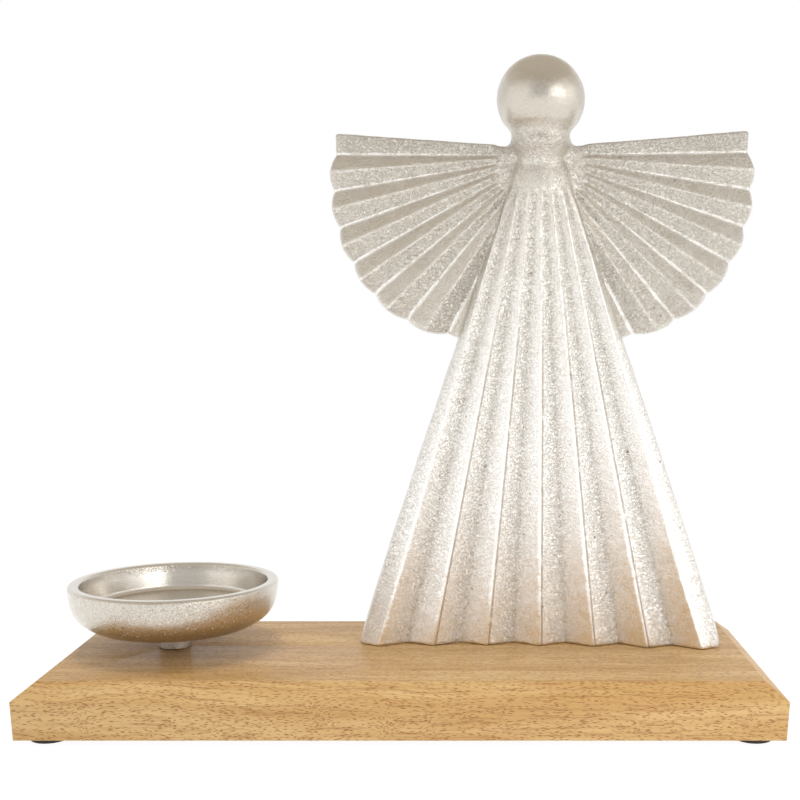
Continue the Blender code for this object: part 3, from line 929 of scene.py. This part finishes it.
def robe_tree(columns: int, rows: int) -> Tree:
    """Geometry tree of the robe: zigzag pleats that fan out to the hem under a smooth rounded bust."""
    maker, size, entry = open_size_tree("PleatedRobe", RobeSizes, {})
    tube, across, side, along = section_ring(maker, columns, rows, TubeEnds.FILLED)
    height = along * size["robe_top"] * BUST_END
    share = maker.math("MINIMUM", height / size["pleat_top"], 1.0)
    bust = ((height - size["pleat_top"]) / (size["robe_top"] - size["pleat_top"])).clamped()
    dome = maker.math("SQRT", 1.0 - bust * bust)
    flank = maker.mix(size["half_width_hem"], size["half_width_top"], share)
    flank = flank + size["side_bulge"] * maker.math("SINE", maker.math("SQRT", share) * math.pi)
    pitch = maker.mix(size["pitch_hem"], size["pitch_top"], share)
    pleated = across.size() / size["pleated_share"]
    line = size["last_ridge"] * maker.math("MINIMUM", pleated, 1.0)
    outer = ((across.size() - size["pleated_share"]) / (1.0 - size["pleated_share"])).clamped()
    x = maker.math("SIGN", across) * maker.mix(line * pitch, flank, outer) * dome
    fold = (1.0 - 2.0 * (line - maker.math("ROUND", line)).size() - outer).clamped()
    fade = ((size["pleat_top"] - height) / size["fade"]).clamped()
    relief = maker.mix(size["depth_hem"], size["depth_top"], share) * fade * (fold - 0.5)
    arch = 1.0 - (x * x) / (flank * flank * dome * dome)
    front = (maker.mix(size["front_hem"], size["front_top"], share) * dome) + relief
    front = front + maker.mix(size["crown_hem"], size["crown_top"], share) * dome * arch
    back = maker.mix(size["back_hem"], size["back_top"], share) * dome - relief
    back = back + size["back_crown"] * dome * arch
    rim = maker.round_edge((flank * dome - x.size()) / size["edge_radius"])
    y = (back - front) * 0.5 + side * (back + front) * 0.5 * rim
    to_right = maker.math("SIGN", across) * line
    right_flank = maker.smooth(to_right - maker.math("ROUND", to_right), -0.08, 0.08)
    low = 1.0 - fold
    grain = maker.mix(0.35 + 0.5 * low * low, 0.55 + 0.45 * low, right_flank)
    rub = ((size["robe_top"] - height) / ROBE_TONE_REACH).clamped()
    marked = stored(maker, tube, (maker.mix(0.6, fold, fade), maker.mix(0.60, grain, fade), rub))
    shaped = moved(maker, marked, position=maker.vector(x, y, height))
    return finish_geometry(maker, shaped, entry["Material"])


def fan_angle(maker: TreeMaker, size: dict[str, Term], pleats: Term) -> Term:
    """Angle of a pleat line below the level, counted in pleats from the wing's first valley."""
    past_even = maker.math("MAXIMUM", pleats - size["even_pleats"], 0.0)
    even = size["start_angle"] + pleats * size["pleat_angle"]
    return even + past_even * past_even * size["tail_widening"]


def wing_tree(columns: int, rows: int) -> Tree:
    """Geometry tree of both wings: a fan of zigzag pleats with lobed ends, and its mirror image."""
    maker, size, entry = open_size_tree("FanWings", WingSizes, {})
    tube, across, side, along = section_ring(maker, columns, rows, TubeEnds.OPEN)
    line = (size["tail_pleats"] + 0.5) * (0.5 - 0.5 * across)
    fan_line = maker.math("MAXIMUM", line, 0.5)
    angle = fan_angle(maker, size, fan_line - 0.5)
    before = (1.0 - angle / size["fullest_angle"]).clamped()
    last_valley = fan_angle(maker, size, size["pleats"])
    past_fullest = (angle - size["fullest_angle"]) / (last_valley - size["fullest_angle"])
    after = maker.math("MAXIMUM", past_fullest, 0.0)
    from_ridge = 2.0 * (fan_line - maker.math("ROUND", fan_line)).size()
    tip = size["notch_radius"] + size["lobe_rise"] * (1.0 - from_ridge.power(2.5))
    tip = tip - size["top_shrink"] * before * before - size["tail_shrink"] * after * after
    radius = maker.mix(size["root_radius"], tip, along)
    to_top = (1.0 - 2.0 * line).clamped()
    top_x = maker.mix(size["top_root_x"], size["top_tip_x"], along)
    top_rise = maker.mix(size["top_root_rise"], size["top_tip_rise"], along)
    x = maker.mix(radius * maker.math("COSINE", angle), top_x, to_top)
    rise = maker.mix(-radius * maker.math("SINE", angle), top_rise, to_top)
    fold = maker.mix(1.0 - from_ridge, 1.0, to_top)
    relief = maker.mix(size["depth_root"], size["depth_tip"], along) * (fold - 0.5)
    to_rim = (1.0 - along) * (size["notch_radius"] - size["root_radius"]) / size["edge_radius"]
    to_edge = line * 2.0 * size["top_tip_rise"] / size["edge_radius"]
    rim = maker.round_edge(maker.math("MINIMUM", to_rim, to_edge))
    y = size["midplane_y"] - relief + side * 0.5 * size["thickness"] * rim
    below_ridge = maker.smooth(line - maker.math("ROUND", line), -0.06, 0.06)
    marked = stored(maker, tube, (fold, maker.mix(0.48, 0.84, below_ridge), 0.0))
    shaped = moved(maker, marked, position=maker.vector(x, y, size["centre_height"] + rise))
    mirror = maker.node("GeometryNodeTransform", {"Geometry": shaped, "Scale": (-1.0, 1.0, 1.0)})
    flipped = maker.node("GeometryNodeFlipFaces", {"Mesh": mirror.outputs[0]})
    both = maker.node("GeometryNodeJoinGeometry")
    for half in (shaped, flipped.outputs[0]):
        maker.tree.links.new(half, both.inputs[0])
    return finish_geometry(maker, both.outputs[0], entry["Material"])


@dataclass(frozen=True)
class SkinSizes:
    """Sizes of the cast skin, and of the soft blend of the neck with the shoulders and the bust."""

    blend_low: float
    blend_high: float
    blend_reach: float
    low_softness: float = 0.006
    high_softness: float = 0.004
    snap_reach: float = 0.0007
    lump_size: float = 0.020
    lump_height: float = 0.0007
    ripple_size: float = 0.005
    ripple_height: float = 0.0003


def join_tree(count: int) -> Tree:
    """Geometry tree that joins objects into one mesh and keeps what is stored on their points."""
    labels = [f"Piece {number}" for number in range(1, count + 1)]
    inputs = dict.fromkeys(labels, "Object") | {"Material": "Material"}
    maker, entry = open_group("JoinPieces", TreeKind.GEOMETRY, inputs, {"Geometry": "Geometry"})
    join = maker.node("GeometryNodeJoinGeometry")
    for label in labels:
        info = maker.node("GeometryNodeObjectInfo", {"Object": entry[label]})
        maker.tree.links.new(info.outputs["Geometry"], join.inputs[0])
    return finish_geometry(maker, join.outputs[0], entry["Material"])


def casting_tree() -> Tree:
    """Geometry tree of the cast skin.

    Points go back to the modelled faces, soften round the neck, and then swell and sink a little.

    Returns:
        The tree.
    """
    maker, size, entry = open_size_tree("CastSkin", SkinSizes, {"Geometry": "Geometry", "Model": "Object"})
    model = maker.node("GeometryNodeObjectInfo", {"Object": entry["Model"]}).outputs["Geometry"]
    position = maker.node("GeometryNodeInputPosition").outputs[0]
    nearest = maker.node("GeometryNodeProximity", {"Geometry": model}, target_element="FACES")
    hold = (1.0 - maker.term(nearest.outputs["Distance"]) / size["snap_reach"]).clamped()
    hold = maker.smooth(hold, 0.0, 0.5)
    snapped = maker.node("ShaderNodeMix", data_type="VECTOR")
    for socket, source in ((0, hold), (4, position), (5, nearest.outputs["Position"])):
        maker.feed(snapped.inputs[socket], source)
    skin = moved(maker, entry["Geometry"], position=snapped.outputs[1])
    marks = []
    for name in MARKS:
        value = maker.node("GeometryNodeInputNamedAttribute", {"Name": name}, data_type="FLOAT").outputs[0]
        inputs = {"Mesh": model, "Value": value}
        sample = maker.node("GeometryNodeSampleNearestSurface", inputs, data_type="FLOAT")
        marks.append(sample.outputs["Value"])
    skin = stored(maker, skin, tuple(marks))
    x, _, z = maker.split(position)
    blend = maker.smooth(z, size["blend_low"], size["blend_low"] + size["low_softness"])
    blend = blend * maker.fall(z, size["blend_high"], size["blend_high"] + size["high_softness"])
    blend = blend * maker.fall(x.size(), size["blend_reach"], 1.5 * size["blend_reach"])
    inputs = {"Value": position, "Iterations": 24, "Weight": blend}
    soft = maker.node("GeometryNodeBlurAttribute", inputs, data_type="FLOAT_VECTOR")
    skin = moved(maker, skin, position=soft.outputs[0])
    lumps = maker.noise(position, 1.0 / size["lump_size"], 1.0) - 0.5
    ripples = maker.noise(position, 1.0 / size["ripple_size"], 1.0) - 0.5
    swell = lumps * size["lump_height"] + ripples * size["ripple_height"]
    normal = maker.node("GeometryNodeInputNormal").outputs[0]
    away = maker.node("ShaderNodeVectorMath", {0: normal, "Scale": swell}, operation="SCALE")
    return finish_geometry(maker, moved(maker, skin, offset=away.outputs[0]), entry["Material"])


@dataclass(frozen=True)
class BallGrain:
    """How the grain runs on the ball: nearly smooth above, rough from a little below its middle."""

    rough_from: float = 0.35
    reach: float = 0.016
    smooth: float = 0.12
    rise: float = 0.53

    def at(self, drop: float, radius: float) -> float:
        """Grain at a drop below the ball's middle."""
        return self.smooth + self.rise * min(max((drop - self.rough_from * radius) / self.reach, 0.0), 1.0)


@dataclass(frozen=True)
class Angel:
    """The cast angel: robe, wings, neck and head in one piece."""

    robe: RobeSizes = RobeSizes()
    wings: WingSizes = WingSizes()
    ball_grain: BallGrain = BallGrain()
    head_radius: float = 0.0224
    head_height: float = 0.2809
    head_axis_y: float = -0.0015
    neck_radius: float = 0.0143
    neck_drop: float = 0.0180
    ball_end_rise: float = 0.0040
    shoulder_radius: float = 0.0160
    shoulder_drop: float = 0.0042
    neck_foot_radius: float = 0.012
    neck_foot_drop: float = 0.0118
    neck_cap_radius: float = 0.00735
    blend_rise: float = 0.002
    centre_x: float = 0.0683
    centre_y: float = 0.0063
    foot_height: float = 0.0287
    turn: float = math.radians(-2.4)
    robe_grid: tuple[int, int] = (220, 170)
    wing_grid: tuple[int, int] = (286, 90)
    head_steps: int = 96
    voxel: float = 0.00105
    kept_share: float = 0.68

    def stand(self) -> Matrix:
        """Turn and place of the angel on the board."""
        place_at = Matrix.Translation((self.centre_x, self.centre_y, self.foot_height))
        return place_at @ Matrix.Rotation(self.turn, 4, "Z")

    def head(self, material: Material) -> Piece:
        """The ball head, narrowing to the neck and widening again to the shoulders."""
        neck = self.head_height - self.neck_drop
        shoulder = neck - self.shoulder_drop
        foot = shoulder - self.neck_foot_drop
        ball_end = -math.degrees(math.asin((self.neck_drop - self.ball_end_rise) / self.head_radius))
        profile = arc((0.0, self.head_height), self.head_radius, 90, ball_end, 40)
        neck_points = [(self.neck_radius, neck), (self.shoulder_radius, shoulder)]
        neck_points.append((self.neck_foot_radius, foot))
        profile += curve_through([profile[-2], profile[-1], *neck_points], 8)
        profile += [(self.neck_cap_radius, foot), (0.0, foot)]
        head = turned("angel_head", profile, self.head_steps)
        place(head, Matrix.Translation((0.0, self.head_axis_y, 0.0)))
        drops = [self.head_height - vertex.co.z for vertex in head.data.vertices]
        grain = [self.ball_grain.at(drop, self.head_radius) for drop in drops]
        for name, values in zip(MARKS, ([0.5] * len(drops), grain, [0.0] * len(drops))):
            head.data.attributes.new(name, "FLOAT", "POINT").data.foreach_set("value", values)
        head.data.materials.append(material)
        return head

    def skin(self) -> SkinSizes:
        """Sizes of the cast skin, which is blended from the top of the pleats to just above the neck."""
        above_neck = self.head_height - self.neck_drop + self.blend_rise
        return SkinSizes(self.robe.pleat_top, above_neck, self.shoulder_radius)

    def build(self, material: Material) -> Piece:
        """Builds the casting.

        Args:
            material: Its material.

        Returns:
            The finished piece, in place on the board.
        """
        dressed = {"Material": material}
        robe = made_by_tree("angel_robe", robe_tree(*self.robe_grid), size_values(self.robe) | dressed)
        wings = made_by_tree("angel_wings", wing_tree(*self.wing_grid), size_values(self.wings) | dressed)
        head = self.head(material)
        pieces = {"Piece 1": robe, "Piece 2": wings, "Piece 3": head}
        model = made_by_tree("angel_model", join_tree(len(pieces)), pieces | dressed)
        angel = new_object("angel_figure", model.data.copy())
        weld = angel.modifiers.new("Weld into one casting", "REMESH")
        weld.mode = "VOXEL"
        weld.voxel_size = self.voxel
        settle(angel)
        add_tree(angel, casting_tree(), size_values(self.skin()) | {"Model": model} | dressed)
        thin = angel.modifiers.new("Fewer faces on the flats", "DECIMATE")
        thin.ratio = self.kept_share
        settle(angel)
        discard(robe, wings, head, model)
        place(angel, self.stand())
        self.keep_height(angel)
        return angel

    def keep_height(self, angel: Piece) -> None:
        """Keeps the hem off the board and the head no higher than its CAD node."""
        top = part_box("angel_casting")[1][2]
        for vertex in angel.data.vertices:
            vertex.co.z = min(max(vertex.co.z, self.foot_height), top)
        angel.data.update()

    def dress(self, angel: Piece) -> None:
        """Shades the casting and puts it in its place in the assembly."""
        angel.data.shade_smooth()
        claim(angel, Slot.ANGEL, "angel_casting")


# The dish, the board and what holds them


@dataclass(frozen=True)
class CandleDish:
    """The round cast dish on its boss."""

    centre_x: float = -0.121
    centre_y: float = 0.004
    foot_height: float = 0.0287
    rim_height: float = 0.0632
    rim_radius: float = 0.0533
    rim_wall: float = 0.0059
    rim_rounding: float = 0.0016
    well_depth: float = 0.014
    well_taper: float = 0.0022
    well_fillet: float = 0.0030
    underside_radius: float = 0.0400
    underside_height: float = 0.0404
    belly_drop: float = 0.0040
    belly_bulge: float = 0.0038
    belly_steps: int = 25
    boss_radius: float = 0.0082
    boss_fillet: float = 0.0015
    boss_chamfer: float = 0.0004
    steps: int = 160

    def well_radius(self) -> float:
        """Radius of the well at its top."""
        return self.rim_radius - self.rim_wall

    def profile(self) -> list[Point]:
        """Half section from the middle of the well, over the rim and down to the boss's foot."""
        floor = self.rim_height - self.well_depth
        well_foot = self.well_radius() - self.well_taper
        rounding = self.rim_rounding
        crown = self.rim_height - rounding
        points = [(0.0, floor), (0.5 * well_foot, floor)]
        points += arc((well_foot - self.well_fillet, floor + self.well_fillet), self.well_fillet, -90, 0, 9)
        points += arc((self.well_radius() + rounding, crown), rounding, 180, 90, 8)
        points += arc((self.rim_radius - rounding, crown), rounding, 90, 0, 8)
        start = Vector((self.rim_radius, self.rim_height - self.belly_drop))
        end = Vector((self.underside_radius, self.underside_height))
        outward = Vector((start.y - end.y, end.x - start.x)).normalized()
        for step in range(1, self.belly_steps):
            share = step / self.belly_steps
            point = start.lerp(end, share) + outward * self.belly_bulge * math.sin(math.pi * share)
            points.append((point.x, point.y))
        boss, fillet, chamfer = self.boss_radius, self.boss_fillet, self.boss_chamfer
        points += [(end.x, end.y), (0.5 * end.x, end.y), (boss + fillet, end.y), (boss, end.y - fillet)]
        foot = self.foot_height
        return points + [(boss, foot + chamfer), (boss - chamfer, foot), (0.0, foot)]

    def build(self) -> Piece:
        """Builds the dish in place on the board."""
        dish = turned("dish_casting", self.profile(), self.steps)
        place(dish, Matrix.Translation((self.centre_x, self.centre_y, 0.0)))
        return dish

    def dress(self, dish: Piece, material: Material) -> None:
        """Gives the dish its finish and its place in the assembly."""
        dish.data.materials.append(material)
        smooth_shading(dish, 40)
        claim(dish, Slot.DISH, "candle_dish")


@dataclass(frozen=True)
class Board:
    """The varnished board, made from a merged copy of its node with softened edges."""

    edge_radius: float = 0.0009
    edge_segments: int = 3

    def build(self) -> Piece:
        """Builds the board."""
        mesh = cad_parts["wood_board"].data.copy()
        bm = bmesh.new()
        bm.from_mesh(mesh)
        bmesh.ops.remove_doubles(bm, verts=bm.verts, dist=WELD_REACH)
        bmesh.ops.dissolve_limit(bm, angle_limit=math.radians(1), verts=bm.verts, edges=bm.edges)
        bm.to_mesh(mesh)
        bm.free()
        board = new_object("board_plank", mesh)
        bevel = board.modifiers.new("Soften edges", "BEVEL")
        bevel.width = self.edge_radius
        bevel.segments = self.edge_segments
        bevel.angle_limit = math.radians(20)
        return settle(board)

    def dress(self, board: Piece, material: Material) -> None:
        """Gives the board its finish and its place in the assembly."""
        board.data.materials.clear()
        board.data.materials.append(material)
        smooth_shading(board, 25)
        claim(board, Slot.WOOD, "wood_board")


@dataclass(frozen=True)
class CarriedNodes:
    """Nodes whose shape is already right, picked by words in their names, which only get a finish."""

    words: tuple[str, ...]

    def dress(self, material: Material) -> None:
        """Gives each node its material."""
        for name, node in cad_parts.items():
            if any(word in name for word in self.words):
                node.data.materials.clear()
                node.data.materials.append(material)
                LOG.info("%s keeps its shape with %s", name, material.name)


# Camera, lamps and backdrop


@dataclass(frozen=True)
class SoftLamp:
    """A rectangular soft lamp that metal doesn't mirror."""

    name: str
    place_at: Place
    aim: Place
    size: tuple[float, float]
    watts: float

    def build(self) -> None:
        """Hangs the lamp and turns it to its aim."""
        data = bpy.data.lights.new(self.name, "AREA")
        data.shape = "RECTANGLE"
        data.size, data.size_y = self.size
        data.energy = self.watts
        lamp = bpy.data.objects.new(self.name, data)
        lamp.location = self.place_at
        lamp.visible_glossy = False
        lamp.rotation_euler = (Vector(self.aim) - Vector(self.place_at)).to_track_quat("-Z", "Y").to_euler()
        bpy.context.scene.collection.objects.link(lamp)


@dataclass(frozen=True)
class Studio:
    """The white studio and the camera at the photograph's angle."""

    lens: float = 55.85
    shift_x: float = -0.0931
    camera_place: Place = (0.0345, -0.6335, 0.1911)
    pitch: float = math.radians(3.09)
    front_level: float = 0.70
    left_level: float = 1.22
    right_level: float = 1.50
    strip_level: float = 1.3
    strip_turn: float = math.radians(-38)
    window_level: float = 3.0
    window_turn: float = math.radians(40)
    ceiling: Colour = (0.60, 0.54, 0.46)
    diffuse_level: float = 0.72
    seen_floor_level: float = 1.12
    near_floor_level: float = 1.30
    far_floor_level: float = 1.35
    near_radius: float = 0.25
    floor_size: float = 6.0
    floor_glow: float = 0.84
    lamps: tuple[SoftLamp, ...] = (
        SoftLamp(
            "key_lamp", place_at=(1.02, -0.88, 0.36), aim=(0.07, 0.0, 0.17), size=(0.36, 0.8), watts=6.2
        ),
        SoftLamp(
            "top_lamp", place_at=(-0.1, -0.1, 1.2), aim=(0.0, 0.0, 0.0), size=(0.4, 0.4), watts=3.9
        ),
    )

    def camera(self) -> None:
        """Makes the camera and looks through it."""
        data = bpy.data.cameras.new("camera")
        data.lens = self.lens
        data.sensor_width = 36.0
        data.sensor_fit = "HORIZONTAL"
        data.shift_x = self.shift_x
        data.clip_start = 0.01
        camera = bpy.data.objects.new("camera", data)
        camera.location = self.camera_place
        camera.rotation_euler = (math.radians(90) - self.pitch, 0.0, 0.0)
        bpy.context.scene.collection.objects.link(camera)
        bpy.context.scene.camera = camera

    def world(self) -> None:
        """Soft room light for metal to mirror, and a white backdrop for the camera.

        The room is white behind the piece and dimmer in front, with an upright strip to the left, a low
        window to the right and a darker ceiling. Diffuse light from it is dimmer, which deepens shadows.
        """
        world = bpy.data.worlds.new("studio")
        bpy.context.scene.world = world
        world.use_nodes = True
        maker = TreeMaker(world.node_tree)
        x, y, z = maker.split(maker.node("ShaderNodeTexCoord").outputs["Generated"])
        turn = maker.math("ARCTAN2", x, -y)
        room = maker.mix(self.front_level, self.left_level, maker.smooth(turn.size(), 0.3, 0.9))
        room = room + (self.right_level - self.left_level) * maker.smooth(turn, 0.4, 1.0)
        room = maker.mix(room, 1.0, maker.smooth(turn.size(), 1.5, 2.0))
        strip = maker.fall((turn - self.strip_turn).size(), math.radians(3), math.radians(7))
        room = maker.mix(room, self.strip_level, strip)
        window = maker.fall((turn - self.window_turn).size(), math.radians(11), math.radians(16))
        room = maker.mix(room, self.window_level, window * maker.fall(z, 0.25, 0.42))
        colour = maker.colour_mix(room, self.ceiling, maker.smooth(z, 0.25, 0.75))
        path = maker.node("ShaderNodeLightPath").outputs
        strength = maker.mix(1.0, self.diffuse_level, maker.term(path["Is Diffuse Ray"]))
        background = world.node_tree.nodes["Background"]
        maker.feed(background.inputs["Strength"], strength)
        white = (1.0, 1.0, 1.0)
        maker.feed(background.inputs["Color"], maker.colour_mix(colour, white, path["Is Camera Ray"]))

    def floor(self) -> None:
        """A white floor that keeps a faint shadow."""
        bm = bmesh.new()
        bmesh.ops.create_grid(bm, x_segments=1, y_segments=1, size=self.floor_size)
        mesh = bpy.data.meshes.new("studio_floor")
        bm.to_mesh(mesh)
        bm.free()
        floor = new_object("studio_floor", mesh)
        material, maker, shader, at = start_material("studio_floor")
        shader.inputs["Base Color"].default_value = (0.9, 0.9, 0.9, 1.0)
        shader.inputs["Roughness"].default_value = 0.9
        shader.inputs["Specular IOR Level"].default_value = 0.0
        path = maker.node("ShaderNodeLightPath").outputs
        seen = maker.math("MAXIMUM", path["Is Camera Ray"], path["Is Transmission Ray"])
        mirrored = maker.term(path["Is Glossy Ray"])
        x, y, _ = maker.split(at)
        near = maker.fall(maker.length(x, y), self.near_radius, 3.0 * self.near_radius)
        mirrored_level = maker.mix(self.far_floor_level, self.near_floor_level, near)
        level = maker.mix(self.seen_floor_level, mirrored_level, mirrored)
        glow = maker.node("ShaderNodeEmission", {"Strength": level})
        share = maker.math("MAXIMUM", seen, mirrored) * self.floor_glow
        mix = maker.node("ShaderNodeMixShader", {0: share})
        maker.tree.links.new(shader.outputs[0], mix.inputs[1])
        maker.tree.links.new(glow.outputs[0], mix.inputs[2])
        maker.feed(maker.tree.nodes["Material Output"].inputs["Surface"], mix.outputs[0])
        mesh.materials.append(material)
        floor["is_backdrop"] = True

    def build(self) -> None:
        """Builds the studio."""
        self.camera()
        self.world()
        self.floor()
        for lamp in self.lamps:
            lamp.build()
        bpy.context.scene.view_settings.view_transform = "Standard"


def main() -> None:
    """Builds every piece in order and reports each one."""
    logging.basicConfig(level=logging.INFO, format="%(name)s: %(message)s", force=True)
    groups = Groups()
    Studio().build()
    board = Board()
    board.dress(board.build(), VarnishedWood().material(groups))
    dish = CandleDish()
    dish.dress(dish.build(), CastDishMetal().material(groups, dish))
    angel = Angel()
    angel.dress(angel.build(CastAngelMetal().material(groups, angel.robe, angel.stand())))
    CarriedNodes(("foot_pad",)).dress(MOULDED_RUBBER.material(groups))
    CarriedNodes(("screw", "washer")).dress(PLATED_STEEL.material(groups))
    boxes = {"cad": CAD_BOX, "visual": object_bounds()}
    boxes = {name: [list(corner) for corner in box] for name, box in boxes.items()}
    LOG.info("sizes: %s", boxes)


if __name__ == "__main__":
    main()
